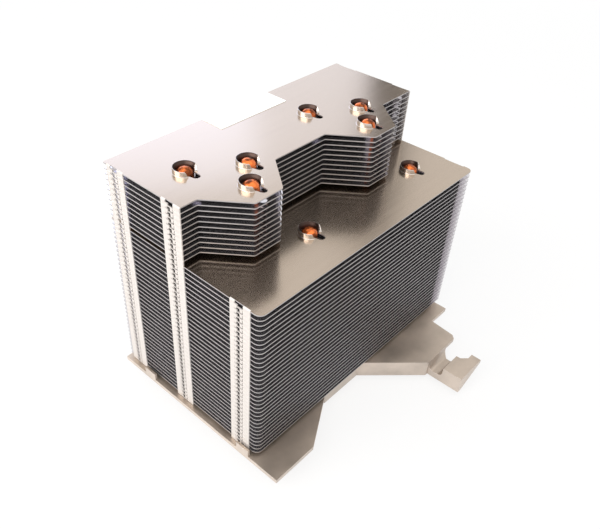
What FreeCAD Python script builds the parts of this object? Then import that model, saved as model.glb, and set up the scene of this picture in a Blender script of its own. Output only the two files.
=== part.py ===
"""Passive heatsink for a server processor, in millimetres.

Four heat pipes bent to a U stand in a stack of folded aluminium fins. Their runs lie side
by side between the grooves of a copper contact plate and those of a cast base frame. The
front of the upper fins steps back to a line with two lobes, which carry the legs of the
third pipe, and the legs of the foremost pipe end at the highest full fin.

The origin is the centre of the contact face. X runs along the pipes, Y across them towards
the straight back of the fins, and Z up the stack.
"""
import FreeCAD, Part
import Sketcher
import math
import os

SIZES = [
    ("fin_length", "121", "fin from end to end along the pipes"),
    ("fin_width", "72", "full fin from front to back"),
    ("fin_gauge", "0.4", "thickness of the fin sheet"),
    ("fin_corner", "1.9", "clipped front corners of a full fin"),
    ("fin_pitch", "2", "one fin to the next"),
    ("fin_shift_x", "1.3", "middle of the fins to the right of the pipes"),
    ("fin_shift_y", "2.6", "middle of the fins behind the pipes"),
    ("fin_count", "45", "fins in the stack"),
    ("full_fin_count", "34", "fins below the step, the deck included"),
    ("fin_clearance", "1.8", "frame to the lowest fin"),
    ("upper_fin_width", "38", "back edge to the front line above the step"),
    ("lobe_depth", "13.9", "lobe in front of that line"),
    ("lobe_tip_width", "12.2", "lobe at its front edge"),
    ("lobe_root_width", "34.6", "lobe at the front line"),
    ("flange_width", "8.8", "folded flange along the fin's end"),
    ("back_flange_inset", "1.7", "back edge to the back flange"),
    ("front_flange_inset", "4.2", "front edge to the front flange"),
    ("pipe_diameter", "6", "heat pipe, outside"),
    ("solder_gap", "0.05", "solder between a pipe and what holds it"),
    ("leg_spacing", "60.6", "one leg of a pipe to the other"),
    ("bend_radius", "12", "middle line of a bend"),
    ("lane_pitch", "10.3", "one pipe to the next across the plate"),
    ("inner_stagger", "4.5", "second and third pipe off the middle"),
    ("outer_stagger", "13.8", "first and last pipe off the middle"),
    ("tip_rise", "1.1", "pipe's tip above the fin that it ends in"),
    ("tip_taper", "1.5", "swaged cone at a pipe's tip"),
    ("collar_height", "1.6", "drawn collar above its fin"),
    ("collar_wall", "0.7", "wall of a drawn collar"),
    ("vent_diameter", "2.2", "round end of a collar's keyhole"),
    ("vent_reach", "5.6", "leg to the round end of its keyhole"),
    ("vent_slit", "1.2", "slit that joins the two"),
    ("plate_length", "44", "contact plate along the pipes"),
    ("plate_width", "44", "contact plate across the pipes"),
    ("plate_thickness", "4.5", "contact plate up to the middle of the pipes"),
    ("plate_corner", "1.5", "chamfered corners of the contact plate"),
    ("frame_lift", "1.8", "underside of the frame above the contact face"),
    ("frame_height", "7.6", "frame from its underside to its top"),
    ("roof_gap", "0.1", "pipe runs to the frame's roof"),
    ("frame_left", "61", "left edge of the frame from the middle"),
    ("frame_right", "58.2", "right edge of the frame from the middle"),
    ("frame_back", "39.2", "back edge of the frame from the middle"),
    ("lug_reach", "44.6", "left lug in front of the middle"),
    ("lug_width", "19.7", "left lug along its front edge"),
    ("right_lug_reach", "38.6", "right lug in front of the middle"),
    ("front_wall", "30.9", "front wall in front of the middle"),
    ("front_wall_left", "17.6", "left end of the front wall"),
    ("arm_reach", "51.6", "end of an arm from the middle"),
    ("arm_left", "24", "left end of an arm's front edge"),
    ("arm_right", "45.4", "right end of an arm's front edge"),
    ("arm_flare", "1.2", "arm wider at its root on the right"),
    ("arm_corner", "1.6", "clipped corner at an arm's right end"),
    ("arm_wall", "2.4", "walls under the arms"),
    ("wall_inset", "3", "walls behind the roof's edge right of a pad"),
    ("slot_width", "6.3", "clip channel between arm and pad"),
    ("slot_depth", "4.6", "clip channel below the frame's top"),
    ("slot_round", "2.2", "rounding at the channel's floor"),
    ("pad_left", "25.3", "left side of a clip pad"),
    ("pad_right", "40.8", "right side of a clip pad"),
    ("pad_depth", "8.5", "clip pad beyond the channel"),
    ("pad_nose", "1.5", "thickness of the pad's right end"),
    ("pad_heel", "2", "level stretch under the pad before its ramp"),
    ("notch_length", "5.2", "notch in the right side of channel and pad"),
    ("notch_depth", "4.2", "notch beyond the channel"),
    ("notch_slant", "2.4", "slanted ends of the notch"),
    ("tab_width", "6", "locating tab along the left edge"),
    ("tab_height", "2.8", "locating tab above the frame"),
    ("tab_gauge", "0.9", "thickness of a locating tab"),
    ("back_tab", "23.9", "back tab behind the middle"),
    ("front_tab", "27.6", "front tab in front of the middle"),
    ("label_length", "34", "label along the back edge"),
    ("label_width", "10.5", "label across the fin"),
    ("label_gauge", "0.15", "thickness of the label"),
]

# Heights that several pieces share
RUN_HEIGHT = "sizes.plate_thickness"
FRAME_TOP = "(sizes.frame_lift + sizes.frame_height)"
ROOF = f"({RUN_HEIGHT} + sizes.pipe_diameter / 2 + sizes.roof_gap)"
LOWEST_FIN = f"({FRAME_TOP} + sizes.fin_clearance)"
DECK_FIN = f"({LOWEST_FIN} + (sizes.full_fin_count - 1) * sizes.fin_pitch)"
TOP_FIN = f"({LOWEST_FIN} + (sizes.fin_count - 1) * sizes.fin_pitch)"

# Edges of the fins
FIN_LEFT = "(sizes.fin_shift_x - sizes.fin_length / 2)"
FIN_RIGHT = "(sizes.fin_shift_x + sizes.fin_length / 2)"
FIN_FRONT = "(sizes.fin_shift_y - sizes.fin_width / 2)"
FIN_BACK = "(sizes.fin_shift_y + sizes.fin_width / 2)"
UPPER_FRONT = f"({FIN_BACK} - sizes.upper_fin_width)"

# Left side of a pad's notch, and where the notch starts at the arm
NOTCH_SIDE = "(sizes.pad_right - sizes.notch_length)"
NOTCH_START = f"({NOTCH_SIDE} + sizes.notch_slant)"

# Openings that the pipes pass through
BORE = "(sizes.pipe_diameter + 2 * sizes.solder_gap)"
HALF_BORE = f"({BORE} / 2)"

doc = FreeCAD.newDocument("heatsink")
sheet = doc.addObject("Spreadsheet::Sheet", "sizes")


def fill_sheet():
    """Writes one row for each driving size: its name, its value and what it measures."""
    for row, (alias, value, meaning) in enumerate(SIZES, start=1):
        sheet.set(f"A{row}", alias)
        sheet.set(f"B{row}", value)
        sheet.set(f"C{row}", meaning)
        sheet.setAlias(f"B{row}", alias)
    doc.recompute()


def number(formula):
    """Value of a formula of sheet cells."""
    return float(sheet.evalExpression(formula))


def bind(item, **formulas):
    """Ties properties of an object to formulas of sheet cells."""
    for name, formula in formulas.items():
        item.setExpression(name, formula)


def place(item, x="0", y="0", z="0"):
    """Ties an object's position to formulas of sheet cells."""
    item.setExpression("Placement.Base.x", x)
    item.setExpression("Placement.Base.y", y)
    item.setExpression("Placement.Base.z", z)


def make_body(name):
    """Starts a body that carries its own label."""
    body = doc.addObject("PartDesign::Body", name)
    body.Label = name
    return body


def sketch_on(body, name, role="XY_Plane", offset="0"):
    """Puts a sketch on one of the body's own origin planes, moved along its normal."""
    sketch = body.newObject("Sketcher::SketchObject", name)
    plane = [item for item in body.Origin.OriginFeatures if item.Role == role][0]
    sketch.AttachmentSupport = [(plane, "")]
    sketch.MapMode = "FlatFace"
    sketch.setExpression("AttachmentOffset.Base.z", offset)
    return sketch


def hold(sketch, kind, line, end, formula):
    """Ties one coordinate of a line's end to a formula."""
    rule = Sketcher.Constraint(kind, -1, 1, line, end, number(formula))
    index = sketch.addConstraint(rule)
    sketch.setExpression(f"Constraints[{index}]", formula)


def draw_outline(sketch, corners):
    """Draws one closed outline through corners given as pairs of formulas."""
    spots = [FreeCAD.Vector(number(x), number(y), 0) for x, y in corners]
    first = sketch.GeometryCount
    count = len(spots)
    for index, spot in enumerate(spots):
        sketch.addGeometry(Part.LineSegment(spot, spots[(index + 1) % count]))
    for index, (x, y) in enumerate(corners):
        line = first + index
        before = first + (index - 1) % count
        sketch.addConstraint(Sketcher.Constraint("Coincident", before, 2, line, 1))
        hold(sketch, "DistanceX", line, 1, x)
        hold(sketch, "DistanceY", line, 1, y)


def draw_rectangle(sketch, left, front, right, back):
    """Draws a rectangle between two pairs of formulas."""
    draw_outline(sketch, [(left, front), (right, front), (right, back), (left, back)])


def turned(corners, side):
    """Gives the corners as they are, or turned by half a turn about Z for side -1."""
    return [(f"{side} * ({x})", f"{side} * ({y})") for x, y in corners]


def pad(body, sketch, length, down=False):
    """Adds the sketch's outlines as solid."""
    feature = body.newObject("PartDesign::Pad", f"{sketch.Name}_pad")
    feature.Profile = sketch
    feature.Reversed = down
    bind(feature, Length=length)
    return feature


def cut(body, sketch, length=None, upwards=False):
    """Cuts the sketch's outlines out, to a depth or all the way up, and checks that it cut."""
    doc.recompute()
    before = body.Shape.Volume
    feature = body.newObject("PartDesign::Pocket", f"{sketch.Name}_pocket")
    feature.Profile = sketch
    if length is None:
        feature.Type = "ThroughAll"
        feature.Reversed = True
    else:
        feature.Reversed = upwards
        bind(feature, Length=length)
    doc.recompute()
    if not body.Shape.Volume < before:
        raise ValueError(f"{feature.Name} cuts nothing")


def cut_both_ways(body, sketch, length):
    """Cuts the sketch's outlines out on both sides of its plane, and checks that it cut."""
    doc.recompute()
    before = body.Shape.Volume
    feature = body.newObject("PartDesign::Pocket", f"{sketch.Name}_pocket")
    feature.Profile = sketch
    feature.Midplane = True
    bind(feature, Length=length)
    doc.recompute()
    if not body.Shape.Volume < before:
        raise ValueError(f"{feature.Name} cuts nothing")


# Pipes in their lanes, the first at the back: middle of the run and top of the legs
def lane(index):
    """Distance of a pipe's plane behind the middle of the plate."""
    return f"({1.5 - index} * sizes.lane_pitch)"


PIPES = [
    ("heat_pipe_1", "(-sizes.outer_stagger)", lane(0), TOP_FIN),
    ("heat_pipe_2", "sizes.inner_stagger", lane(1), TOP_FIN),
    ("heat_pipe_3", "(-sizes.inner_stagger)", lane(2), TOP_FIN),
    ("heat_pipe_4", "sizes.outer_stagger", lane(3), DECK_FIN),
]
LOBE_PIPE = PIPES[2]


def legs(pipes):
    """Side, distance to the right and distance back of each leg of the given pipes."""
    found = []
    for name, middle, back, end in pipes:
        for side in (-1, 1):
            found.append((side, f"({middle} + {side} * sizes.leg_spacing / 2)", back))
    return found


def draw_u(sketch, left, right, floor, top, radius):
    """Draws a U: two uprights and a floor, joined by two tangent bends."""
    x0, x1, y0, y1 = [number(formula) for formula in (left, right, floor, top)]
    bend = number(radius)
    normal = FreeCAD.Vector(0, 0, 1)
    corners = [FreeCAD.Vector(x0 + bend, y0 + bend, 0), FreeCAD.Vector(x1 - bend, y0 + bend, 0)]
    out = FreeCAD.Vector(bend, 0, 0)
    down = FreeCAD.Vector(0, -bend, 0)
    arcs = [
        Part.ArcOfCircle(Part.Circle(corners[0], normal, bend), math.pi, 1.5 * math.pi),
        Part.ArcOfCircle(Part.Circle(corners[1], normal, bend), 1.5 * math.pi, 2 * math.pi),
    ]
    first = sketch.addGeometry(Part.LineSegment(FreeCAD.Vector(x0, y1, 0), corners[0] - out))
    sketch.addGeometry(arcs[0])
    sketch.addGeometry(Part.LineSegment(corners[0] + down, corners[1] + down))
    sketch.addGeometry(arcs[1])
    last = sketch.addGeometry(Part.LineSegment(corners[1] + out, FreeCAD.Vector(x1, y1, 0)))
    for index in range(first, last):
        sketch.addConstraint(Sketcher.Constraint("Tangent", index, 2, index + 1, 1))
    sketch.addConstraint(Sketcher.Constraint("Horizontal", first + 2))
    sketch.addConstraint(Sketcher.Constraint("Equal", first + 1, first + 3))
    size = sketch.addConstraint(Sketcher.Constraint("Radius", first + 1, bend))
    sketch.setExpression(f"Constraints[{size}]", radius)
    hold(sketch, "DistanceX", first, 1, left)
    hold(sketch, "DistanceY", first, 1, top)
    hold(sketch, "DistanceX", last, 2, right)
    hold(sketch, "DistanceY", last, 2, top)
    hold(sketch, "DistanceY", first + 2, 1, floor)
    return first, last


def draw_lid(sketch, first, last):
    """Closes a U at its top."""
    start = sketch.getPoint(last, 2)
    end = sketch.getPoint(first, 1)
    lid = sketch.addGeometry(Part.LineSegment(start, end))
    sketch.addConstraint(Sketcher.Constraint("Coincident", last, 2, lid, 1))
    sketch.addConstraint(Sketcher.Constraint("Coincident", lid, 2, first, 1))


def make_pipe(name, middle, back, end_fin):
    """One heat pipe: a round tube swept along leg, bend, run, bend and leg, with cone tips."""
    body = make_body(name)
    half = "(sizes.leg_spacing / 2)"
    top = f"({end_fin} + sizes.fin_gauge + sizes.tip_rise)"
    path = sketch_on(body, f"{name}_path", "XZ_Plane")
    draw_u(path, f"-{half}", half, RUN_HEIGHT, top, "sizes.bend_radius")

    section = sketch_on(body, f"{name}_section", offset=top)
    draw_circle(section, f"-{half}", "0", "sizes.pipe_diameter / 2")
    doc.recompute()
    tube = body.newObject("PartDesign::AdditivePipe", f"{name}_tube")
    tube.Profile = section
    tube.Spine = path
    doc.recompute()

    rims = []
    for index, edge in enumerate(tube.Shape.Edges, start=1):
        if edge.BoundBox.ZMin > number(top) - 0.001:
            rims.append(f"Edge{index}")
    tips = body.newObject("PartDesign::Chamfer", f"{name}_tips")
    tips.Base = (tube, rims)
    bind(tips, Size="sizes.tip_taper")
    place(body, x=middle, y=back)
    return body


def full_outline():
    """Corners of a fin below the step, clipped at the front."""
    clip_back = f"{FIN_FRONT} + sizes.fin_corner"
    return [
        (f"{FIN_LEFT} + sizes.fin_corner", FIN_FRONT),
        (f"{FIN_RIGHT} - sizes.fin_corner", FIN_FRONT),
        (FIN_RIGHT, clip_back),
        (FIN_RIGHT, FIN_BACK),
        (FIN_LEFT, FIN_BACK),
        (FIN_LEFT, clip_back),
    ]


def upper_outline():
    """Corners of a fin above the step, whose two lobes stand around legs of one pipe."""
    lobe_front = f"({UPPER_FRONT} - sizes.lobe_depth)"
    corners = [(FIN_LEFT, UPPER_FRONT)]
    for side, x, y in legs([LOBE_PIPE]):
        corners.append((f"{x} - sizes.lobe_root_width / 2", UPPER_FRONT))
        corners.append((f"{x} - sizes.lobe_tip_width / 2", lobe_front))
        corners.append((f"{x} + sizes.lobe_tip_width / 2", lobe_front))
        corners.append((f"{x} + sizes.lobe_root_width / 2", UPPER_FRONT))
    corners += [(FIN_RIGHT, UPPER_FRONT), (FIN_RIGHT, FIN_BACK), (FIN_LEFT, FIN_BACK)]
    return corners


def add_flanges(body, fronts):
    """Folds flanges down at both ends of a fin until they stand on the fin below."""
    flanges = sketch_on(body, f"{body.Name}_flanges")
    for front in fronts:
        back = f"{front} + sizes.flange_width"
        draw_rectangle(flanges, FIN_LEFT, front, f"{FIN_LEFT} + sizes.fin_gauge", back)
        draw_rectangle(flanges, f"{FIN_RIGHT} - sizes.fin_gauge", front, FIN_RIGHT, back)
    pad(body, flanges, "sizes.fin_pitch - sizes.fin_gauge", down=True)


def add_collars(body, pipes):
    """Draws a round collar up around each leg and opens it to a round vent by a slit."""
    collars = sketch_on(body, f"{body.Name}_collars", offset="sizes.fin_gauge")
    bores = sketch_on(body, f"{body.Name}_bores")
    vents = sketch_on(body, f"{body.Name}_vents")
    slits = sketch_on(body, f"{body.Name}_slits")
    for side, x, y in legs(pipes):
        draw_circle(collars, x, y, f"{HALF_BORE} + sizes.collar_wall")
        draw_circle(bores, x, y, HALF_BORE)
        draw_circle(vents, x, f"{y} - sizes.vent_reach", "sizes.vent_diameter / 2")
        slit_side = "sizes.vent_slit / 2"
        draw_rectangle(slits, f"{x} - {slit_side}", f"{y} - sizes.vent_reach", f"{x} + {slit_side}", y)
    pad(body, collars, "sizes.collar_height")
    for sketch in (bores, vents, slits):
        cut(body, sketch)


def draw_circle(sketch, x, y, radius):
    """Draws a circle whose middle and radius are formulas."""
    centre = FreeCAD.Vector(number(x), number(y), 0)
    index = sketch.addGeometry(Part.Circle(centre, FreeCAD.Vector(0, 0, 1), number(radius)))
    hold(sketch, "DistanceX", index, 3, x)
    hold(sketch, "DistanceY", index, 3, y)
    size = sketch.addConstraint(Sketcher.Constraint("Radius", index, number(radius)))
    sketch.setExpression(f"Constraints[{size}]", radius)


def add_openings(body, pipes, reach=HALF_BORE):
    """Cuts an opening with flats around each leg, which may reach further to the middle."""
    openings = sketch_on(body, f"{body.Name}_openings")
    for side, x, y in legs(pipes):
        ends = [f"{x} - {side} * {reach}", f"{x} + {side} * {HALF_BORE}"]
        left, right = sorted(ends, key=number)
        draw_rectangle(openings, left, f"{y} - {HALF_BORE}", right, f"{y} + {HALF_BORE}")
    cut(body, openings)


def make_fin(name, outline, open_pipes, collar_pipes, reach=HALF_BORE, full=True):
    """One fin pattern: a sheet with folded flanges, openings and drawn collars."""
    body = make_body(name)
    sheet_sketch = sketch_on(body, f"{name}_sheet")
    draw_outline(sheet_sketch, outline)
    pad(body, sheet_sketch, "sizes.fin_gauge")
    fronts = [f"{FIN_BACK} - sizes.back_flange_inset - sizes.flange_width", UPPER_FRONT]
    if full:
        fronts.append(f"{FIN_FRONT} + sizes.front_flange_inset")
    add_flanges(body, fronts)
    if open_pipes:
        add_openings(body, open_pipes, reach)
    if collar_pipes:
        add_collars(body, collar_pipes)
    return body


def make_fin_stack():
    """All fins: copies of five patterns, from the lowest to the top one."""
    rise = f"({RUN_HEIGHT} + sizes.bend_radius - {LOWEST_FIN})"
    inner_bend = "(sizes.bend_radius - sizes.pipe_diameter / 2)"
    reach = f"(sizes.bend_radius + sizes.solder_gap - sqrt({inner_bend} ^ 2 - {rise} ^ 2))"
    through = PIPES[:3]
    foremost = PIPES[3:]
    bend_fin = make_fin("bend_fin", full_outline(), PIPES, [], reach)
    full_fin = make_fin("full_fin", full_outline(), PIPES, [])
    deck_fin = make_fin("deck_fin", full_outline(), through, foremost)
    upper_fin = make_fin("upper_fin", upper_outline(), through, [], full=False)
    top_fin = make_fin("top_fin", upper_outline(), [], through, full=False)

    count = round(number("sizes.fin_count"))
    deck = round(number("sizes.full_fin_count")) - 1
    in_bend = max(0, math.ceil(number(rise) / number("sizes.fin_pitch")))
    fins = []
    for level in range(count):
        if level < in_bend:
            pattern = bend_fin
        elif level < deck:
            pattern = full_fin
        elif level == deck:
            pattern = deck_fin
        elif level < count - 1:
            pattern = upper_fin
        else:
            pattern = top_fin
        fin = doc.addObject("App::Link", f"fin_{level + 1:02d}")
        fin.LinkedObject = pattern
        fin.Label = f"fin_{level + 1:02d}"
        place(fin, z=f"{LOWEST_FIN} + {level} * sizes.fin_pitch")
        fins.append(fin)
    return fins


def frame_outline():
    """Plan of the frame's roof: straight back, left lug, angled arm and right lug."""
    run = "(sizes.arm_reach - sizes.front_wall)"
    root = "(sizes.arm_right + sizes.arm_flare)"
    lug_end = "(sizes.lug_width - sizes.frame_left)"
    arm_end = [
        ("sizes.arm_left", "-sizes.arm_reach"),
        ("sizes.arm_right - sizes.arm_corner", "-sizes.arm_reach"),
        ("sizes.arm_right", "-sizes.arm_reach + sizes.arm_corner"),
    ]
    return [
        ("-sizes.frame_left", "-sizes.lug_reach"),
        (lug_end, "-sizes.lug_reach"),
        ("-sizes.front_wall_left", "-sizes.front_wall"),
        (f"sizes.arm_left - {run}", "-sizes.front_wall"),
    ] + arm_end + [
        (root, "-sizes.right_lug_reach"),
        ("sizes.frame_right", "-sizes.right_lug_reach"),
        ("sizes.frame_right", "sizes.frame_back"),
        ("-sizes.arm_left + sizes.arm_reach - sizes.frame_back", "sizes.frame_back"),
    ] + turned(arm_end, -1) + [
        (f"-{root}", "sizes.frame_back"),
        ("-sizes.frame_left", "sizes.frame_back"),
    ]


def arm_outline(inset):
    """Plan of the walls under one arm, moved inwards by the inset.

    Right of the clip pad the walls stand behind the edge of the roof.
    """
    run = "(sizes.arm_reach - sizes.front_wall)"
    diagonal = f"({inset} * (sqrt(2) - 1))"
    near = f"(sizes.plate_width / 2 + {inset})"
    front = f"(sizes.front_wall - {inset})"
    step = f"{NOTCH_START} - {inset}"
    far = f"-(sizes.arm_reach - sizes.wall_inset - {inset})"
    right = f"sizes.arm_right - sizes.wall_inset - {inset}"
    return [
        (f"-sizes.front_wall_left + {inset}", f"-{near}"),
        (f"-sizes.front_wall_left + {inset}", f"-{front}"),
        (f"sizes.arm_left - {run} + {diagonal}", f"-{front}"),
        (f"sizes.arm_left + {diagonal}", f"-(sizes.arm_reach - {inset})"),
        (step, f"-(sizes.arm_reach - {inset})"),
        (step, far),
        (right, far),
        (right, f"-{near}"),
    ]


def add_arms(body):
    """Walls under the two arms, as deep as the frame."""
    walls = sketch_on(body, "arm_walls", offset="sizes.frame_lift")
    for side in (1, -1):
        draw_outline(walls, turned(arm_outline("0"), side))
        draw_outline(walls, turned(arm_outline("sizes.arm_wall"), side))
    pad(body, walls, f"{ROOF} - sizes.frame_lift")


def add_clip_pads(body):
    """Clip pads in front of the arms, each beyond a rounded channel, with a notch and a ramp below."""
    channel_end = "(sizes.arm_reach + sizes.slot_width)"
    pad_end = f"({channel_end} + sizes.pad_depth)"
    notch_end = f"({channel_end} + sizes.notch_depth)"
    root = "-sizes.arm_reach + sizes.arm_wall"
    tongue = sketch_on(body, "pad_plan", offset="sizes.frame_lift")
    for side in (1, -1):
        draw_outline(tongue, turned([
            ("sizes.pad_left", root),
            ("sizes.pad_left", f"-{pad_end}"),
            ("sizes.pad_right", f"-{pad_end}"),
            ("sizes.pad_right", f"-{notch_end}"),
            (NOTCH_START, f"-{notch_end}"),
            (NOTCH_SIDE, f"-{notch_end} + sizes.notch_slant"),
            (NOTCH_SIDE, "-sizes.arm_reach - sizes.notch_slant"),
            (NOTCH_START, "-sizes.arm_reach"),
            (NOTCH_START, root),
        ], side))
    pad(body, tongue, "sizes.frame_height")
    channels = sketch_on(body, "channels", "YZ_Plane")
    floor = f"({FRAME_TOP} - sizes.slot_depth)"
    above = f"({FRAME_TOP} + sizes.slot_depth)"
    for near, far in ((f"-{channel_end}", "-sizes.arm_reach"), ("sizes.arm_reach", channel_end)):
        first, last = draw_u(channels, near, far, floor, above, "sizes.slot_round")
        draw_lid(channels, first, last)
    cut_both_ways(body, channels, "2 * sizes.arm_right")
    heel = "(sizes.pad_left + sizes.pad_heel)"
    for side, name in ((1, "front_ramp"), (-1, "back_ramp")):
        start = channel_end if side == 1 else f"-{pad_end}"
        ramp = sketch_on(body, name, "XZ_Plane", start)
        draw_outline(ramp, [
            (f"{side} * {heel}", "sizes.frame_lift"),
            (f"{side} * sizes.pad_right", f"{FRAME_TOP} - sizes.pad_nose"),
            (f"{side} * sizes.pad_right", "sizes.frame_lift"),
        ])
        cut(body, ramp, "sizes.pad_depth", upwards=True)


def add_tabs(body):
    """Two locating tabs that stand up from the frame's left edge beside the fins."""
    tabs = sketch_on(body, "tabs", offset=FRAME_TOP)
    for middle in ("sizes.back_tab", "-sizes.front_tab"):
        draw_rectangle(
            tabs, "-sizes.frame_left", f"{middle} - sizes.tab_width / 2",
            "-sizes.frame_left + sizes.tab_gauge", f"{middle} + sizes.tab_width / 2")
    pad(body, tabs, "sizes.tab_height")


def add_grooves(body):
    """Half-round grooves along X in which the runs of the pipes lie."""
    grooves = sketch_on(body, f"{body.Name}_grooves", "YZ_Plane")
    for name, middle, back, end in PIPES:
        draw_circle(grooves, back, RUN_HEIGHT, HALF_BORE)
    cut_both_ways(body, grooves, "2 * sizes.plate_length")


def make_frame():
    """Cast base frame: a roof with walled arms and a grooved saddle that holds the pipes."""
    body = make_body("base_frame")
    roof = sketch_on(body, "roof", offset=ROOF)
    draw_outline(roof, frame_outline())
    pad(body, roof, f"{FRAME_TOP} - {ROOF}")
    add_arms(body)
    saddle = sketch_on(body, "saddle", offset=RUN_HEIGHT)
    half_length = "sizes.plate_length / 2"
    half_width = "sizes.plate_width / 2"
    draw_rectangle(saddle, f"-{half_length}", f"-{half_width}", half_length, half_width)
    pad(body, saddle, f"{ROOF} - {RUN_HEIGHT}")
    add_clip_pads(body)
    add_tabs(body)
    add_grooves(body)
    slots = sketch_on(body, "pipe_slots")
    half_slot = f"({HALF_BORE} + sizes.roof_gap)"
    for side, x, y in legs(PIPES):
        ends = [f"{x} - {side} * sizes.bend_radius", f"{x} + {side} * {half_slot}"]
        left, right = sorted(ends, key=number)
        draw_rectangle(slots, left, f"{y} - {half_slot}", right, f"{y} + {half_slot}")
    cut(body, slots)
    return body


def make_contact_plate():
    """Copper plate under the pipes, grooved to half their depth."""
    body = make_body("contact_plate")
    plan = sketch_on(body, "plate_plan")
    half_length = "sizes.plate_length / 2"
    half_width = "sizes.plate_width / 2"
    draw_rectangle(plan, f"-{half_length}", f"-{half_width}", half_length, half_width)
    block = pad(body, plan, "sizes.plate_thickness")
    doc.recompute()
    upright = []
    for index, edge in enumerate(block.Shape.Edges, start=1):
        if edge.BoundBox.ZLength > number("sizes.plate_thickness / 2"):
            upright.append(f"Edge{index}")
    corners = body.newObject("PartDesign::Chamfer", "plate_corners")
    corners.Base = (block, upright)
    bind(corners, Size="sizes.plate_corner")
    add_grooves(body)
    return body


def make_label():
    """Bare label on the top fin, flush with its back edge and midway along it."""
    label = doc.addObject("Part::Box", "label")
    label.Label = "label"
    bind(label, Length="sizes.label_length", Width="sizes.label_width", Height="sizes.label_gauge")
    place(
        label, "sizes.fin_shift_x - sizes.label_length / 2", f"{FIN_BACK} - sizes.label_width",
        f"{TOP_FIN} + sizes.fin_gauge")
    return label


def check_document():
    """Stops when any object failed to build."""
    for item in doc.Objects:
        if "Invalid" in item.State or "Error" in item.State:
            raise ValueError(f"{item.Name} failed: {item.State}")


def export(pieces):
    """Checks every piece's shape, then writes each to a file named after it."""
    shapes = {}
    for piece in pieces:
        shape = Part.getShape(piece)
        if shape.isNull() or not shape.isValid() or len(shape.Solids) != 1:
            raise ValueError(f"{piece.Label} is not one valid solid")
        shapes[piece.Label] = shape
    os.makedirs("parts", exist_ok=True)
    for label, shape in shapes.items():
        shape.exportStep(f"parts/{label}.step")


fill_sheet()
pieces = [make_contact_plate(), make_frame()]
pieces += [make_pipe(*pipe) for pipe in PIPES]
pieces += make_fin_stack()
pieces.append(make_label())
doc.recompute()
check_document()
export(pieces)
print(len(pieces), "pieces")
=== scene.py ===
"""Looks of a passive server heatsink: folded fins, copper pipes, cast frame, label and studio.

Blender keeps the lengths of the settings in metres. The shapes are worked out in
millimetres, and are turned to metres when they become objects.
"""
import math
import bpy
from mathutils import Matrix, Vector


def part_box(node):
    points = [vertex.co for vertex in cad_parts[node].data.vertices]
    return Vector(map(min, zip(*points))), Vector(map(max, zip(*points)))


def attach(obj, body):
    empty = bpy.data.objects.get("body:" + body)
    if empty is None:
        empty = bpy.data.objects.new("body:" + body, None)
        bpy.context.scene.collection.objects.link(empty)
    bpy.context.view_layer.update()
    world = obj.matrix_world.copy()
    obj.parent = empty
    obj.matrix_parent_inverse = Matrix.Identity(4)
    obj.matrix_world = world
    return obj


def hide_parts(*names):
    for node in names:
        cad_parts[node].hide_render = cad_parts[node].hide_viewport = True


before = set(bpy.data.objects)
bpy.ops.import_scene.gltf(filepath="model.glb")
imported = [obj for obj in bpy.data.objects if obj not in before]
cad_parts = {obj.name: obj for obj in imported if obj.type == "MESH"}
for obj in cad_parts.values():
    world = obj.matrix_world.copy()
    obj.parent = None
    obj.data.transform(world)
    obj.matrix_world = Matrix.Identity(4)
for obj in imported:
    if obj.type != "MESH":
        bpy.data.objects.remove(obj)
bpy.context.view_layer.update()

from types import SimpleNamespace

import bmesh
import bpy
import numpy as np
from bpy.props import FloatProperty, FloatVectorProperty, IntProperty, PointerProperty
from bpy.types import Operator, Panel, PropertyGroup

bl_info = {
    "name": "Passive Heatsink",
    "version": (1, 0, 0),
    "blender": (4, 5, 0),
    "location": "View3D > Sidebar > Heatsink",
    "description": "Dresses a passive processor heatsink with folded fins and heat pipes",
    "category": "Add Mesh",
}

MM = 0.001
PER_CM = 100.0  # One to a centimetre, counted to a metre


def linear(code):
    """Turns an sRGB hex colour such as #c0ffee into linear red, green and blue."""
    parts = np.array([int(code[k:k + 2], 16) / 255 for k in (1, 3, 5)])
    low = parts / 12.92
    high = ((parts + 0.055) / 1.055) ** 2.4
    return tuple(float(value) for value in np.where(parts <= 0.04045, low, high))


def node_box(name):
    """Lowest and highest corner of a frame node, in millimetres."""
    low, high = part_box(name)
    return np.array(low) / MM, np.array(high) / MM


FIN_NAMES = sorted(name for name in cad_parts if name.startswith("fin_"))
PIPE_NAMES = sorted(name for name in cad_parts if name.startswith("heat_pipe_"))
FULL_FIN = 9  # Place in the list of a full fin above the pipes' bends
FULL_LOW, FULL_HIGH = node_box(FIN_NAMES[FULL_FIN])
PITCH = node_box(FIN_NAMES[FULL_FIN + 1])[1][2] - FULL_HIGH[2]
GAUGE = 0.4  # Thickness of the fins' sheet


# Settings


def length(name, size, description):
    """A length setting, from its size in millimetres."""
    return FloatProperty(
        name=name, description=description, default=size * MM, min=0.0, subtype="DISTANCE",
        precision=5)


def angle(name, degrees, description):
    """An angle setting, from its degrees."""
    return FloatProperty(
        name=name, description=description, default=math.radians(degrees), min=0.0,
        subtype="ANGLE")


def power(name, watts, description):
    """A lamp's power setting, from its watts."""
    return FloatProperty(name=name, description=description, default=watts, min=0.0, unit="POWER")


def colour(name, code, description):
    """A colour setting, from its hex code."""
    return FloatVectorProperty(
        name=name, description=description, default=linear(code), subtype="COLOR", min=0.0,
        max=1.0)


def in_mm(settings):
    """The values of a group of settings, with each length turned to millimetres."""
    values = {}
    for name in settings.__annotations__:
        value = getattr(settings, name)
        is_length = settings.bl_rna.properties[name].unit == "LENGTH"
        values[name] = value / MM if is_length else value
    return SimpleNamespace(**values)


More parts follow.
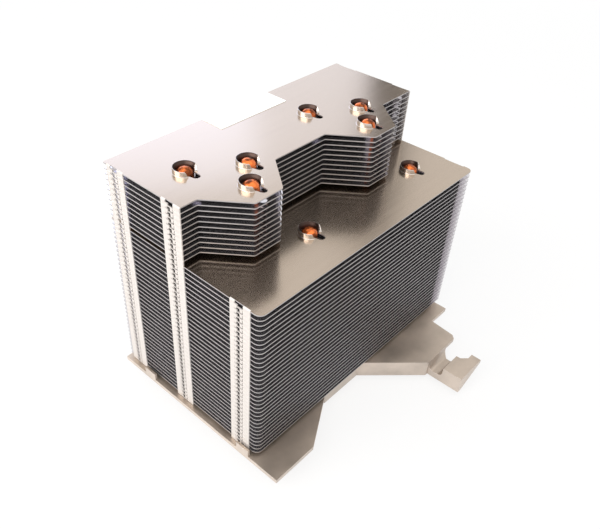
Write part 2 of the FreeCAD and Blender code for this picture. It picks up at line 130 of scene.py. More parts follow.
class HeatsinkFinSettings(PropertyGroup):
    """Sizes of the folded fins."""
    corner: length("Front corner", 2.5, "Radius of a full fin's front corners")
    back_corner: length("Back corner", 0.6, "Radius of a fin's back corners")
    lobe_corner: length("Lobe corner", 1.0, "Radius of the corners of the two lobes")
    upper_width: length("Upper fin", 38.0, "Back edge to the front line above the step")
    lobe_depth: length("Lobe depth", 13.9, "Lobe in front of that line")
    lobe_tip: length("Lobe tip", 12.2, "Lobe at its front edge")
    lobe_root: length("Lobe root", 34.6, "Lobe at the front line")
    fold: length("Fold", 0.5, "Outer radius of a fold")
    flange: length("Flange", 8.8, "Flange along the fin's end")
    back_inset: length("Back inset", 1.7, "Back edge to the back flange")
    front_inset: length("Front inset", 4.2, "Front edge to the front flange")
    bore: length("Bore", 3.05, "Radius of the hole around a pipe")
    collar_rise: length("Collar rise", 1.9, "Drawn collar above its fin")
    collar_lean: length("Collar lean", 0.75, "Collar wider at its rim than at its fin")
    collar_wall: length("Collar wall", 0.3, "Wall of a drawn collar at its rim")
    collar_foot: length("Collar foot", 0.2, "Outer radius where a collar leaves the sheet")
    mouth_left: angle("Mouth, left", 25.0, "Straight ahead to the left end of a collar")
    mouth_right: angle("Mouth, right", 42.0, "Straight ahead to the right end of a collar")
    taper_left: angle("Taper, left", 14.0, "Angle over which a collar's left end falls")
    taper_right: angle("Taper, right", 40.0, "Angle over which a collar's right end falls")
    vent: length("Vent", 1.45, "Radius of the round end of a keyhole")
    vent_reach: length("Vent reach", 4.7, "Pipe to the round end of its keyhole")
    vent_shift: length("Vent shift", 0.65, "Round end to the right of its pipe")
    inner_wall: length("Inner wall", 0.35, "Wall of the plain collars between the fins")
    inner_left: angle("Inner mouth, left", 25.0, "Straight ahead to a plain collar's left end")
    inner_right: angle("Inner mouth, right", 60.0, "Straight ahead to a plain collar's right end")
    sway: length("Sway", 0.05, "Largest height of each of the two waves in a fin")


class HeatsinkPipeSettings(PropertyGroup):
    """Sizes of the heat pipes."""
    bend: length("Bend", 12.0, "Radius of a bend's middle line")
    tip: length("Tip", 2.9, "Length of the domed tip at a pipe's end")
    tip_rise: length("Tip rise", 0.6, "Solder that a tip carries past the pipe's own end")
    sides: IntProperty(name="Sides", description="Facets around a pipe", default=40, min=8)


class HeatsinkFrameSettings(PropertyGroup):
    """Sizes of the base frame's finish."""
    edge: length("Edge", 0.4, "Rounding of the cast edges")
    plate_edge: length("Plate edge", 0.2, "Rounding of the contact plate's edges")


class HeatsinkLabelSettings(PropertyGroup):
    """Sizes of the label."""
    corner: length("Corner", 0.5, "Radius of the label's corners")


class HeatsinkStudioSettings(PropertyGroup):
    """Lamps and floor."""
    key: power("Key", 3.2, "Lamp to the left and behind")
    glint: power("Glint", 1.6, "Small lamp that the collars mirror")
    window: power("Window", 1.05, "Each of the two cool lamps that the flat sheets mirror")
    fill: power("Fill", 4.5, "Lamp above")
    ambient: FloatProperty(
        name="Ambient", description="Strength of the world on dull surfaces", default=0.75,
        min=0.0, max=1.0, subtype="FACTOR")
    floor: colour("Floor", "#f4f3f1", "Pale floor")


class HeatsinkColours(PropertyGroup):
    """Colours of the finishes."""
    sheet: colour("Sheet", "#c2b2a1", "Rolled sheet of the top fin and the deck")
    bright: colour("Bright sheet", "#dddadd", "Rolled sheet between the fins")
    edge: colour("Edge", "#b3afaf", "Sheared edges of the sheets")
    collar: colour("Collar", "#d2c8c0", "Outside of the drawn collars")
    # Painted shade: the dark colour of the collars' insides stands in for the shade and dark
    # reflections in those hollows
    collar_shade: colour("Stain", "#54423b", "Inside of the collars, stained by flux")
    fold: colour("Fold", "#d6d0cb", "Pale faces of the folded flanges")
    cast: colour("Cast", "#c6b7a8", "Cast aluminium frame")
    # Painted light: a paler copy of the cast colour for the frame's side faces, so that they read
    # as lit against the darker tops
    lit_sides: colour("Trimmed", "#cdc0b4", "Trimmed sides of the frame")
    # Painted highlight: a near-white copy of the cast colour for the frame's rounded edges
    edge_highlight: colour("Rubbed", "#f6f0ea", "Rubbed edges of the frame")
    copper: colour("Copper", "#ea7a3e", "Copper of the pipes")
    milled: colour("Milled copper", "#c9734c", "Contact plate")
    paper: colour("Paper", "#fbfbfa", "Label")


# Materials


def add_node(tree, kind, inputs=None, **settings):
    """Adds a node, sets its properties, and gives each named input a value or a link."""
    item = tree.nodes.new(kind)
    for name, value in settings.items():
        setattr(item, name, value)
    for name, value in (inputs or {}).items():
        if isinstance(value, bpy.types.NodeSocket):
            tree.links.new(value, item.inputs[name])
        else:
            item.inputs[name].default_value = value
    return item


def start_material(name):
    """An empty node material with its tree."""
    material = bpy.data.materials.new(name)
    material.use_nodes = True
    tree = material.node_tree
    tree.nodes.clear()
    return material, tree


def material_named(name):
    """A material that the finishes made."""
    return bpy.data.materials[name]


def close_material(tree, shader):
    """Links a shader to the material's output."""
    add_node(tree, "ShaderNodeOutputMaterial", {"Surface": shader.outputs[0]})


def coordinates(tree, kind="Object"):
    """Texture coordinates of a kind."""
    return add_node(tree, "ShaderNodeTexCoord").outputs[kind]


def rgba(values, share=1.0):
    """A colour setting with full alpha, darkened to a share of itself."""
    return (*(share * value for value in values[:3]), 1.0)


def noise(tree, counts, detail):
    """Noise with the given counts of features to a centimetre along X, Y and Z."""
    point = add_node(tree, "ShaderNodeMapping", {
        "Vector": coordinates(tree), "Scale": [count * PER_CM for count in counts]})
    return add_node(tree, "ShaderNodeTexNoise", {
        "Vector": point.outputs[0], "Scale": 1.0, "Detail": detail}).outputs[0]


def ramp(tree, value, start, end, low=0.0, high=1.0):
    """A value that goes from low to high while another goes from start to end."""
    return add_node(tree, "ShaderNodeMapRange", {
        "Value": value, "From Min": start, "From Max": end, "To Min": low,
        "To Max": high}).outputs[0]


def mix(tree, share, first, second, blend="MIX"):
    """Blends the second colour over the first by a share."""
    return add_node(
        tree, "ShaderNodeMix", {"Factor": share, "A": first, "B": second}, data_type="RGBA",
        blend_type=blend).outputs["Result"]


def bump(tree, height, strength, depth):
    """A normal tilted by a height, which counts for a depth in millimetres."""
    return add_node(tree, "ShaderNodeBump", {
        "Height": height, "Strength": strength, "Distance": depth * MM}).outputs[0]


def surface(tree, base, metallic, roughness, **more):
    """Closes a material with one physical surface."""
    close_material(tree, add_node(tree, "ShaderNodeBsdfPrincipled", {
        "Base Color": base, "Metallic": metallic, "Roughness": roughness, **more}))


def sheet_finish(name, tint, streak, gloss, metallic=1.0):
    """Sheet metal: faint streaks along the rolling direction, slow waves and a blurred mirror.

    The streaks are 2 mm across and 50 mm along, coarser than real ones so that they show.
    """
    _, tree = start_material(name)
    streaks = noise(tree, (0.2, 5.0, 5.0), 1.0)
    waves = noise(tree, (0.18, 0.3, 0.18), 0.0)
    tone = ramp(tree, streaks, 0.3, 0.7, 1.0 - streak, 1.0 + streak)
    base = mix(tree, 1.0, rgba(tint), tone, "MULTIPLY")
    rough = ramp(tree, streaks, 0.3, 0.7, gloss * 0.95, gloss * 1.05)
    surface(tree, base, metallic, rough, Normal=bump(tree, waves, 0.3, 0.4))


def rolled_aluminium(colours):
    """Sheet of the two open faces, dulled by handling, with a soft blurred mirror image."""
    sheet_finish("rolled_aluminium", colours.sheet, 0.015, 0.2)


def bright_aluminium(colours):
    """Sheet as it left the mill, with an oxide haze that keeps the gaps from going black."""
    sheet_finish("bright_rolled_aluminium", colours.bright, 0.03, 0.1, 0.955)


def drawn_aluminium(colours):
    """Collars drawn out of the sheet: burnished by the punch, with marks along the draw."""
    sheet_finish("drawn_aluminium", colours.collar, 0.04, 0.22)


def stained_aluminium(colours):
    """Inside of the collars: painted shade, dark brown with darker clouds, with a little gloss
    left.
    """
    _, tree = start_material("stained_aluminium")
    clouds = noise(tree, (6.0, 6.0, 6.0), 3.0)
    surface(tree, mix(tree, clouds, rgba(colours.collar_shade), rgba(colours.collar_shade, 0.45)), 0.8, 0.35)


def sheared_aluminium(colours):
    """Sheared edges: torn fine lines that take the mirror gloss away."""
    sheet_finish("sheared_aluminium", colours.edge, 0.08, 0.42, 0.6)


def folded_aluminium(colours):
    """Outer faces of the folds: sheet blanched by the bending tool, dull and almost white."""
    _, tree = start_material("folded_aluminium")
    grain = noise(tree, (25.0, 9.0, 9.0), 2.0)
    surface(tree, mix(tree, grain, rgba(colours.fold), rgba(colours.fold, 0.94)), 0.35, 0.5)


def cast_aluminium(colours):
    """Tumbled die casting: satin on top and duller on its side faces, which take a paler colour as
    painted light, so that the sides read as lit and the tops as shaded.

    Its skin has grains of 0.4 mm, and its stains are clouds of about 12 mm.
    """
    _, tree = start_material("cast_aluminium")
    skin = noise(tree, (25.0, 25.0, 25.0), 3.0)
    clouds = noise(tree, (0.85, 0.85, 0.85), 4.0)
    normal = coordinates(tree, "Normal")
    upward = add_node(tree, "ShaderNodeSeparateXYZ", {"Vector": normal}).outputs["Z"]
    # Side faces, found from the normal, take the paler colour: painted light
    sides = ramp(tree, upward, 0.2, 0.9, 1.0, 0.0)
    own = mix(tree, sides, rgba(colours.cast), rgba(colours.lit_sides))
    base = mix(tree, 1.0, own, ramp(tree, clouds, 0.3, 0.7, 0.8, 1.08), "MULTIPLY")
    metallic = ramp(tree, sides, 0.0, 1.0, 0.9, 0.3)
    rough = ramp(tree, clouds, 0.3, 0.7, 0.36, 0.46)
    surface(tree, base, metallic, rough, Normal=bump(tree, skin, 0.12, 0.1))


def rubbed_aluminium(colours):
    """Rounded edges of the casting in a near-white copy of its metal: a painted highlight along the
    edges.
    """
    sheet_finish("rubbed_aluminium", colours.edge_highlight, 0.03, 0.3)


def drawn_copper(colours):
    """Drawn copper tube: bright and reddish, with dark brown patches of burnt flux."""
    _, tree = start_material("drawn_copper")
    patches = ramp(tree, noise(tree, (4.2, 4.2, 3.0), 2.0), 0.45, 0.61)
    base = mix(tree, patches, rgba(colours.copper), rgba(colours.copper, 0.22))
    surface(tree, base, 0.85, 0.17)


def milled_copper(colours):
    """Milled copper plate: cutter lines a fraction of a millimetre apart along the pipes."""
    _, tree = start_material("milled_copper")
    lines = add_node(tree, "ShaderNodeTexWave", {
        "Vector": coordinates(tree), "Scale": 1600.0, "Distortion": 0.4, "Detail": 1.0},
        bands_direction="Y").outputs[0]
    clouds = noise(tree, (1.2, 1.2, 1.2), 3.0)
    base = mix(tree, clouds, rgba(colours.milled), rgba(colours.milled, 0.75))
    surface(tree, base, 1.0, 0.28, Normal=bump(tree, lines, 0.2, 0.05))


def label_paper(colours):
    """Matt coated label paper with a faint fibre grain."""
    _, tree = start_material("label_paper")
    fibre = noise(tree, (30.0, 30.0, 30.0), 2.0)
    base = mix(tree, fibre, rgba(colours.paper), rgba(colours.paper, 0.97))
    surface(tree, base, 0.0, 0.55, Normal=bump(tree, fibre, 0.08, 0.05))


class HEATSINK_OT_finishes(Operator):
    """Makes the materials of all pieces"""
    bl_idname = "heatsink.finishes"
    bl_label = "Finishes"

    def execute(self, context):
        colours = context.scene.heatsink_colours
        for make in (rolled_aluminium, bright_aluminium, drawn_aluminium, stained_aluminium,
                     sheared_aluminium, folded_aluminium, cast_aluminium, rubbed_aluminium,
                     drawn_copper, milled_copper, label_paper):
            make(colours)
        return {"FINISHED"}


# Shapes


SMALL = 1e-6  # Points closer than this, in millimetres, are one
DOUBLE = 1e-4  # Doubled points of a shell are merged within this, in millimetres
SHARP = math.radians(35)  # Edges that turn by more than this stay sharp


def round_corners(corners, radii, steps=7):
    """Closed outline with rounded corners.

    Each corner gives way to an arc that touches both of its sides: the arc's middle lies on
    the bisector, and its points turn evenly from one touching point to the other.
    """
    here = np.asarray(corners, float)
    radii = np.broadcast_to(np.asarray(radii, float), len(here))
    back = np.roll(here, 1, axis=0) - here
    ahead = np.roll(here, -1, axis=0) - here
    back /= np.linalg.norm(back, axis=1, keepdims=True)
    ahead /= np.linalg.norm(ahead, axis=1, keepdims=True)
    half = np.arccos(np.clip((back * ahead).sum(1), -1, 1)) / 2
    bisector = back + ahead
    bisector /= np.linalg.norm(bisector, axis=1, keepdims=True)
    middle = here + bisector * (radii / np.sin(half))[:, None]
    start = here + back * (radii / np.tan(half))[:, None] - middle
    end = here + ahead * (radii / np.tan(half))[:, None] - middle
    turn = (np.pi - 2 * half)[:, None, None]
    share = np.linspace(0, 1, steps)[None, :, None]
    arcs = np.sin((1 - share) * turn) * start[:, None] + np.sin(share * turn) * end[:, None]
    points = (middle[:, None] + arcs / np.sin(turn)).reshape(-1, 2)
    apart = np.linalg.norm(points - np.roll(points, 1, axis=0), axis=1) > SMALL
    return points[apart]


def clean_shell(points, faces):
    """Merges a shell's doubled points and turns its faces outwards."""
    mesh = bpy.data.meshes.new("shell")
    mesh.from_pydata(points, [], faces)
    work = bmesh.new()
    work.from_mesh(mesh)
    bmesh.ops.remove_doubles(work, verts=work.verts, dist=DOUBLE)
    bmesh.ops.recalc_face_normals(work, faces=work.faces)
    work.to_mesh(mesh)
    work.free()
    spots, faces = mesh_data(mesh)
    bpy.data.meshes.remove(mesh)
    return spots, faces


def mesh_data(mesh):
    """A mesh's points as one array, and its faces as tuples of places in it."""
    spots = np.empty(len(mesh.vertices) * 3)
    mesh.vertices.foreach_get("co", spots)
    return spots.reshape(-1, 3), [tuple(face.vertices) for face in mesh.polygons]


def flat_plate(loops, low, high):
    """Plate between two heights: the first loop is its edge and the others are holes."""
    outline = bpy.data.curves.new("outline", "CURVE")
    outline.dimensions = "2D"
    outline.fill_mode = "BOTH"
    outline.extrude = (high - low) / 2
    for loop in loops:
        spline = outline.splines.new("POLY")
        spline.points.add(len(loop) - 1)
        spots = np.zeros((len(loop), 4))
        spots[:, :2] = loop
        spline.points.foreach_set("co", spots.ravel())
        spline.use_cyclic_u = True
    holder = bpy.data.objects.new("outline", outline)
    mesh = bpy.data.meshes.new_from_object(holder)
    spots, faces = mesh_data(mesh)
    spots[:, 2] += (low + high) / 2
    bpy.data.objects.remove(holder)
    bpy.data.curves.remove(outline)
    bpy.data.meshes.remove(mesh)
    return clean_shell(spots, faces)


def prism(section, start, end):
    """Closed bar: a section in X and Z carried along Y from start to end."""
    count = len(section)
    near = np.column_stack((section[:, 0], np.full(count, start), section[:, 1]))
    far = near + (0, end - start, 0)
    ring = np.arange(count)
    after = np.roll(ring, -1)
    sides = np.column_stack((ring, after, after + count, ring + count)).tolist()
    caps = [ring[::-1].tolist(), (ring + count).tolist()]
    return clean_shell(np.vstack((near, far)), sides + caps)


def grid_shell(spots):
    """Closed shell of a grid whose rows are rings, with a flat cap on the first and the last."""
    rows, columns = spots.shape[:2]
    index = np.arange(rows * columns).reshape(rows, columns)
    beside = np.roll(index, -1, axis=1)
    sides = np.stack((index[:-1], index[1:], beside[1:], beside[:-1]), axis=-1).reshape(-1, 4)
    caps = [index[0].tolist(), index[-1][::-1].tolist()]
    return clean_shell(spots.reshape(-1, 3), sides.tolist() + caps)


def turned_wall(profile, ring, x, y):
    """Closed wall: a profile of distance and height turned about an upright axis at x and y.

    The part above height zero is scaled by the ring's share of height in each direction.
    """
    outward, share = ring
    flat = (x, y) + outward[:, None, :] * profile[None, :, :1]
    height = np.where(profile[:, 1] > 0, profile[:, 1] * share[:, None], profile[:, 1])
    return grid_shell(np.concatenate((flat, height[:, :, None]), axis=2))


class Build:
    """Collects closed shells, each with its material's place in the list."""

    def __init__(self):
        self.spots = []
        self.faces = []
        self.slots = []
        self.count = 0

    def add(self, shell, slots):
        """Adds a shell with one slot for all its faces or a list with one for each."""
        spots, faces = shell
        self.spots.append(spots)
        self.faces += [tuple(index + self.count for index in face) for face in faces]
        self.slots += slots if isinstance(slots, list) else [slots] * len(faces)
        self.count += len(spots)

    def points(self):
        """All points as one array."""
        return np.vstack(self.spots)


def make_piece(name, spots, faces, slots, materials, smooth=False):
    """Makes an object of millimetre points, at the origin, with its materials."""
    mesh = bpy.data.meshes.new(name)
    mesh.from_pydata(spots * MM, [], faces)
    for material in materials:
        mesh.materials.append(material)
    mesh.polygons.foreach_set("material_index", slots)
    if smooth:
        mesh.shade_smooth()
        mesh.set_sharp_from_angle(angle=SHARP)
    mesh.update()
    piece = bpy.data.objects.new(name, mesh)
    bpy.context.scene.collection.objects.link(piece)
    return piece


# Fins


SHEET, FOLDED, DRAWN, SHEARED, SHADED_INSIDE, UNDERSIDE = range(6)
FIN_FINISHES = (
    "rolled_aluminium", "folded_aluminium", "drawn_aluminium", "sheared_aluminium",
    "stained_aluminium", "bright_rolled_aluminium")
SAME_FRONT = 1.0  # Fins whose fronts lie nearer than this are alike
FINE = 60  # Directions round a collar on the deck and the top fin
COARSE = 24  # Directions round a collar that only shows between two fins
ARC_STEPS = 6  # Points along the short arcs of a fold and a collar
VENT_STEPS = 12
LOWEST_SHARE = 0.15  # Share of its height that a drawn collar keeps at its ends
COLLAR_GAP = 0.1  # Plain collar to the fin above
BEND_REACH = 1.75  # How much longer a hole is where its pipe bends
SLOT_FLAT = 0.01  # How much a slot's end falls short of a half circle
INSIDE_WALL = 0.3  # Share of a drawn collar's wall that takes the painted shade of its inside
STIFF_LINE = 12.0  # Y behind which a fin stays flat
SWAY_DEPTH = 40.0  # Length in front of that line over which a fin bends more and more
SWAY_SHARES = (0.3, 1.0)  # Smallest and largest share of the sway that a wave takes

# Along a flange, as shares of it from its front
WINDOW = (0.35, 0.63, 0.77)  # Deep part's front and back and shallow part's back
HOOK = (0.37, 0.38, 0.5, 0.51)  # Foot, tip, tip and foot of the long tongue
LIP = (0.68, 0.76)  # Both sides of the short tongue

# Down a flange, from its fin's top
WINDOW_DEEP = 1.7
WINDOW_SHALLOW = 1.0
FOOT = PITCH - 0.02  # Just clear of the fin below
HOOK_END = PITCH + 1.2
LIP_END = PITCH + 0.75


def pipe_legs(names):
    """Side and place of both legs of each named pipe."""
    legs = []
    for name in names:
        low, high = node_box(name)
        radius = (high[1] - low[1]) / 2
        for side, x in ((-1, low[0] + radius), (1, high[0] - radius)):
            legs.append((side, x, low[1] + radius))
    return legs


def open_ring(sizes, count):
    """Directions round a collar against the clock's hands, with its share of height there.

    The ring runs from the mouth's right edge to its left edge. Near both ends the height
    falls as the square of a sine, over a longer stretch at the right.
    """
    start = sizes.mouth_right - np.pi / 2
    end = 1.5 * np.pi - sizes.mouth_left
    around = np.linspace(start, end, count)
    from_right = (around - start) / sizes.taper_right
    from_left = (end - around) / sizes.taper_left
    near = np.clip(np.minimum(from_right, from_left), 0, 1)
    share = LOWEST_SHARE + (1 - LOWEST_SHARE) * np.sin(near * np.pi / 2) ** 2
    return np.column_stack((np.cos(around), np.sin(around))), share


def plain_ring(sizes):
    """Directions round a plain collar, which keeps its full height from end to end."""
    around = np.linspace(
        sizes.inner_right - np.pi / 2, 1.5 * np.pi - sizes.inner_left, COARSE)
    return np.column_stack((np.cos(around), np.sin(around))), np.ones(COARSE)


def keyhole(x, y, sizes, count):
    """A round hole that opens forwards into a short slot with a round end, off to the right."""
    end = np.linspace(np.pi, 2 * np.pi, VENT_STEPS)
    small = np.column_stack((np.cos(end), np.sin(end))) * sizes.vent
    small += (sizes.vent_shift, -sizes.vent_reach)
    return np.vstack((open_ring(sizes, count)[0] * sizes.bore, small)) + (x, y)


def bend_slot(side, x, y, sizes):
    """A slot with round ends, one at the pipe's outer side and one nearer to the middle."""
    bore = sizes.bore
    left, right = sorted((x + side * bore, x - side * (bore + BEND_REACH)))
    corners = [(left, y - bore), (right, y - bore), (right, y + bore), (left, y + bore)]
    return round_corners(corners, bore - SLOT_FLAT)


def flange_spans(sizes, full):
    """Front and back of each flange along a fin's ends."""
    fronts = [FULL_HIGH[1] - sizes.back_inset - sizes.flange, FULL_HIGH[1] - sizes.upper_width]
    if full:
        fronts.append(FULL_LOW[1] + sizes.front_inset)
    return [(front, front + sizes.flange) for front in sorted(fronts)]


def end_steps(x, inside, spans):
    """Corners along one end of a fin from front to back, set in where a flange folds down."""
    corners = []
    for front, back in spans:
        corners += [(x, front), (x + inside, front), (x + inside, back), (x, back)]
    return corners


def fin_outline(sizes, full):
    """Edge of a fin's flat sheet, counted from its left front corner anticlockwise.

    A full fin is a rectangle. An upper fin has its straight front line further back, with
    a tapered lobe in front of it for each leg of the middle pipe. Its front flanges start
    on that line. Both are set in at their ends where the flanges fold down.
    """
    left, right = FULL_LOW[0], FULL_HIGH[0]
    spans = flange_spans(sizes, full)
    up_right = end_steps(right, -sizes.fold, spans)
    down_left = end_steps(left, sizes.fold, spans)[::-1]
    if full:
        front = [(left, FULL_LOW[1]), (right, FULL_LOW[1])]
        radii = [sizes.corner] * 2
    else:
        line = FULL_HIGH[1] - sizes.upper_width
        tip = line - sizes.lobe_depth
        front = [(left + sizes.fold, line)]
        radii = [0.0]
        for _, x, _ in pipe_legs(PIPE_NAMES[2:3]):
            front += [(x - sizes.lobe_root / 2, line), (x - sizes.lobe_tip / 2, tip)]
            front += [(x + sizes.lobe_tip / 2, tip), (x + sizes.lobe_root / 2, line)]
            radii += [sizes.lobe_corner] * 4
        front.append((right - sizes.fold, line))
        radii.append(0.0)
        up_right = up_right[2:]
        down_left = down_left[:-2]
    back = [(right, FULL_HIGH[1]), (left, FULL_HIGH[1])]
    radii += [0.0] * len(up_right) + [sizes.back_corner] * 2 + [0.0] * len(down_left)
    return round_corners(front + up_right + back + down_left, radii)


def flange_edge(sizes, front, tongues):
    """Edge of a flange's hanging face, in Y and depth, with its window and its tongues.

    The window is cut through the fold. It is shallow at its back part and deep at its front
    part. The tongues reach down into the window of the fin below.
    """
    deep_front, deep_back, shallow_back = [front + part * sizes.flange for part in WINDOW]
    hook = [front + part * sizes.flange for part in HOOK]
    lip = [front + part * sizes.flange for part in LIP]
    back = front + sizes.flange
    edge = [(front, -sizes.fold), (front, -FOOT)]
    if tongues:
        edge += [(hook[0], -FOOT), (hook[1], -HOOK_END), (hook[2], -HOOK_END), (hook[3], -FOOT)]
        edge += [(lip[0], -FOOT), (lip[0], -LIP_END), (lip[1], -LIP_END), (lip[1], -FOOT)]
    edge += [(back, -FOOT), (back, -sizes.fold)]
    edge += [(shallow_back, -sizes.fold), (shallow_back, -WINDOW_SHALLOW)]
    edge += [(deep_back, -WINDOW_SHALLOW), (deep_back, -WINDOW_DEEP)]
    edge += [(deep_front, -WINDOW_DEEP), (deep_front, -sizes.fold)]
    return np.array(edge)


def fold_section(sizes):
    """Section of a fold in X and Z: an outer quarter circle and, one gauge in, an inner one."""
    turn = np.linspace(0, np.pi / 2, ARC_STEPS)
    outer = np.column_stack((1 - np.sin(turn), np.cos(turn) - 1)) * sizes.fold
    back = turn[::-1]
    radius = sizes.fold - GAUGE
    inner = np.column_stack((
        sizes.fold - np.sin(back) * radius, np.cos(back) * radius - sizes.fold))
    return np.vstack((outer, inner))


def collar_profile(sizes):
    """Section of a drawn collar, in distance from the pipe's axis and height.

    From the sheet's underside it leans out to the rim along a sine, turns over the rim in a
    half circle, and comes down outside and out along a quarter arc to the sheet.
    """
    lean, wall = sizes.collar_lean, sizes.collar_wall
    rise, foot = sizes.collar_rise, sizes.collar_foot
    climb = np.linspace(0, 1, ARC_STEPS)
    up = np.column_stack((lean * (1 - np.cos(climb * np.pi / 2)), climb * (rise - wall / 2)))
    rim = np.linspace(np.pi, 0, ARC_STEPS)
    over = np.column_stack((
        lean + wall / 2 + wall / 2 * np.cos(rim), rise - wall / 2 + wall / 2 * np.sin(rim)))
    down = np.linspace(np.pi, 1.5 * np.pi, ARC_STEPS)
    out = np.column_stack((lean + wall + foot + foot * np.cos(down), foot + foot * np.sin(down)))
    base = np.array([(lean + wall + foot, -GAUGE / 2), (0.0, -GAUGE / 2)])
    return np.vstack((up[:-1], over, out, base)) + (sizes.bore, 0)


def add_sheet(build, loops):
    """Adds the flat sheet, with slots of their own for its sheared edges and its underside."""
    spots, faces = flat_plate(loops, -GAUGE, 0.0)
    low = np.array([spots[list(face), 2].min() for face in faces])
    high = np.array([spots[list(face), 2].max() for face in faces])
    level = np.where(high < -GAUGE / 2, UNDERSIDE, SHEET)
    build.add((spots, faces), np.where(high - low > GAUGE / 2, SHEARED, level).tolist())


def add_flanges(build, sizes, full, tongues):
    """Adds the folds, open where the windows are, and the hanging faces at both ends."""
    section = fold_section(sizes)
    for front, back in flange_spans(sizes, full):
        for x, inside in ((FULL_LOW[0], 1), (FULL_HIGH[0], -1)):
            fold = section * (inside, 1) + (x, 0)
            build.add(prism(fold, front, front + WINDOW[0] * sizes.flange), FOLDED)
            build.add(prism(fold, front + WINDOW[2] * sizes.flange, back), FOLDED)
            spots, faces = flat_plate([flange_edge(sizes, front, tongues)], 0.0, GAUGE)
            hung = np.column_stack((x + inside * spots[:, 2], spots[:, 0], spots[:, 1]))
            build.add(clean_shell(hung, faces), FOLDED)


def add_plain_collars(build, sizes, pipes):
    """Adds the straight collars that reach up to the next fin."""
    rise = PITCH - GAUGE - COLLAR_GAP
    across = sizes.bore + np.array((0.0, 0.0, sizes.inner_wall, sizes.inner_wall))
    profile = np.column_stack((across, (-GAUGE / 2, rise, rise, -GAUGE / 2)))
    for _, x, y in pipe_legs(pipes):
        build.add(turned_wall(profile, plain_ring(sizes), x, y), SHEET)


def add_drawn_collars(build, sizes, pipes):
    """Adds the leaning collars around pipes that end here, with painted shade inside and drawn
    outside.
    """
    profile = collar_profile(sizes)
    for _, x, y in pipe_legs(pipes):
        spots, faces = turned_wall(profile, open_ring(sizes, FINE), x, y)
        middles = np.array([spots[list(face)].mean(0) for face in faces]) - (x, y, 0)
        climb = np.clip(middles[:, 2] / sizes.collar_rise, 0, 1)
        inner = sizes.bore + sizes.collar_lean * climb + INSIDE_WALL * sizes.collar_wall
        # Faces inside the collar take the painted shade
        inside = np.hypot(middles[:, 0], middles[:, 1]) < inner
        build.add((spots, faces), np.where(inside, SHADED_INSIDE, DRAWN).tolist())


def fin_pattern(sizes, full, through, ending, in_bend=False, tongues=True):
    """One fin with its sheet's top at height zero.

    Pipes go on through it or end in its drawn collars. Where they bend it has slots in place
    of keyholes, and no collars.
    """
    build = Build()
    loops = [fin_outline(sizes, full)]
    for side, x, y in pipe_legs(through):
        loops.append(bend_slot(side, x, y, sizes) if in_bend else keyhole(x, y, sizes, COARSE))
    loops += [keyhole(x, y, sizes, FINE) for _, x, y in pipe_legs(ending)]
    add_sheet(build, loops)
    add_flanges(build, sizes, full, tongues)
    if not in_bend:
        add_plain_collars(build, sizes, through)
    add_drawn_collars(build, sizes, ending)
    return build


def sway(points, sizes, seed):
    """Bends a fin a little, mostly at its front, by two slow waves along its length.

    One wave has a single cycle to the length and the other two and a half. Their sum fades
    out evenly from the front to a line a little behind the middle, and as a sine from the
    middle of the length to both ends.
    """
    random = np.random.default_rng(seed)
    phase = random.uniform(0, 2 * np.pi, 2)
    size = random.uniform(*SWAY_SHARES, 2) * sizes.sway
    x = (points[:, 0] - FULL_LOW[0]) / (FULL_HIGH[0] - FULL_LOW[0])
    forward = np.clip((STIFF_LINE - points[:, 1]) / SWAY_DEPTH, 0, 1)
    wave = size[0] * np.sin(2 * np.pi * x + phase[0]) + size[1] * np.sin(5 * np.pi * x + phase[1])
    moved = points.copy()
    moved[:, 2] += wave * forward * np.sin(np.pi * x)
    return moved


class HEATSINK_OT_fins(Operator):
    """Makes every fin of the stack from six patterns"""
    bl_idname = "heatsink.fins"
    bl_label = "Fins"

    def execute(self, context):
        sizes = in_mm(context.scene.heatsink_fins)
        bend_top = node_box("contact_plate")[1][2] + in_mm(context.scene.heatsink_pipes).bend
        first_top = node_box(FIN_NAMES[0])[0][2] + PITCH
        full = [name for name in FIN_NAMES if node_box(name)[0][1] < FULL_LOW[1] + SAME_FRONT]
        tall, short = PIPE_NAMES[:3], PIPE_NAMES[3:]
        patterns = {
            "lowest": fin_pattern(sizes, True, PIPE_NAMES, [], in_bend=True, tongues=False),
            "bend": fin_pattern(sizes, True, PIPE_NAMES, [], in_bend=True),
            "full": fin_pattern(sizes, True, PIPE_NAMES, []),
            "deck": fin_pattern(sizes, True, tall, short),
            "upper": fin_pattern(sizes, False, tall, []),
            "top": fin_pattern(sizes, False, [], tall),
        }
        open_faces = [material_named(name) for name in FIN_FINISHES]
        between = [open_faces[UNDERSIDE]] + open_faces[1:]
        for level, name in enumerate(FIN_NAMES):
            top = first_top + level * PITCH
            if level == 0:
                kind = "lowest"
            elif top - GAUGE < bend_top:
                kind = "bend"
            elif name == full[-1]:
                kind = "deck"
            elif name in full:
                kind = "full"
            elif name == FIN_NAMES[-1]:
                kind = "top"
            else:
                kind = "upper"
            build = patterns[kind]
            points = build.points()
            finish = open_faces
            if kind not in ("deck", "top"):
                points = sway(points, sizes, level)
                finish = between
            points = points + (0, 0, top)
            piece = make_piece(f"{name}_sheet", points, build.faces, build.slots, finish, True)
            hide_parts(name)
            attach(piece, "root")
        return {"FINISHED"}


# Pipes


DOME_POWER = 0.9  # Power of the cosine and the sine of a dome's superellipse
DOME_STEPS, BEND_STEPS, LEG_STEPS = 12, 20, 8  # Steps along each part of a pipe


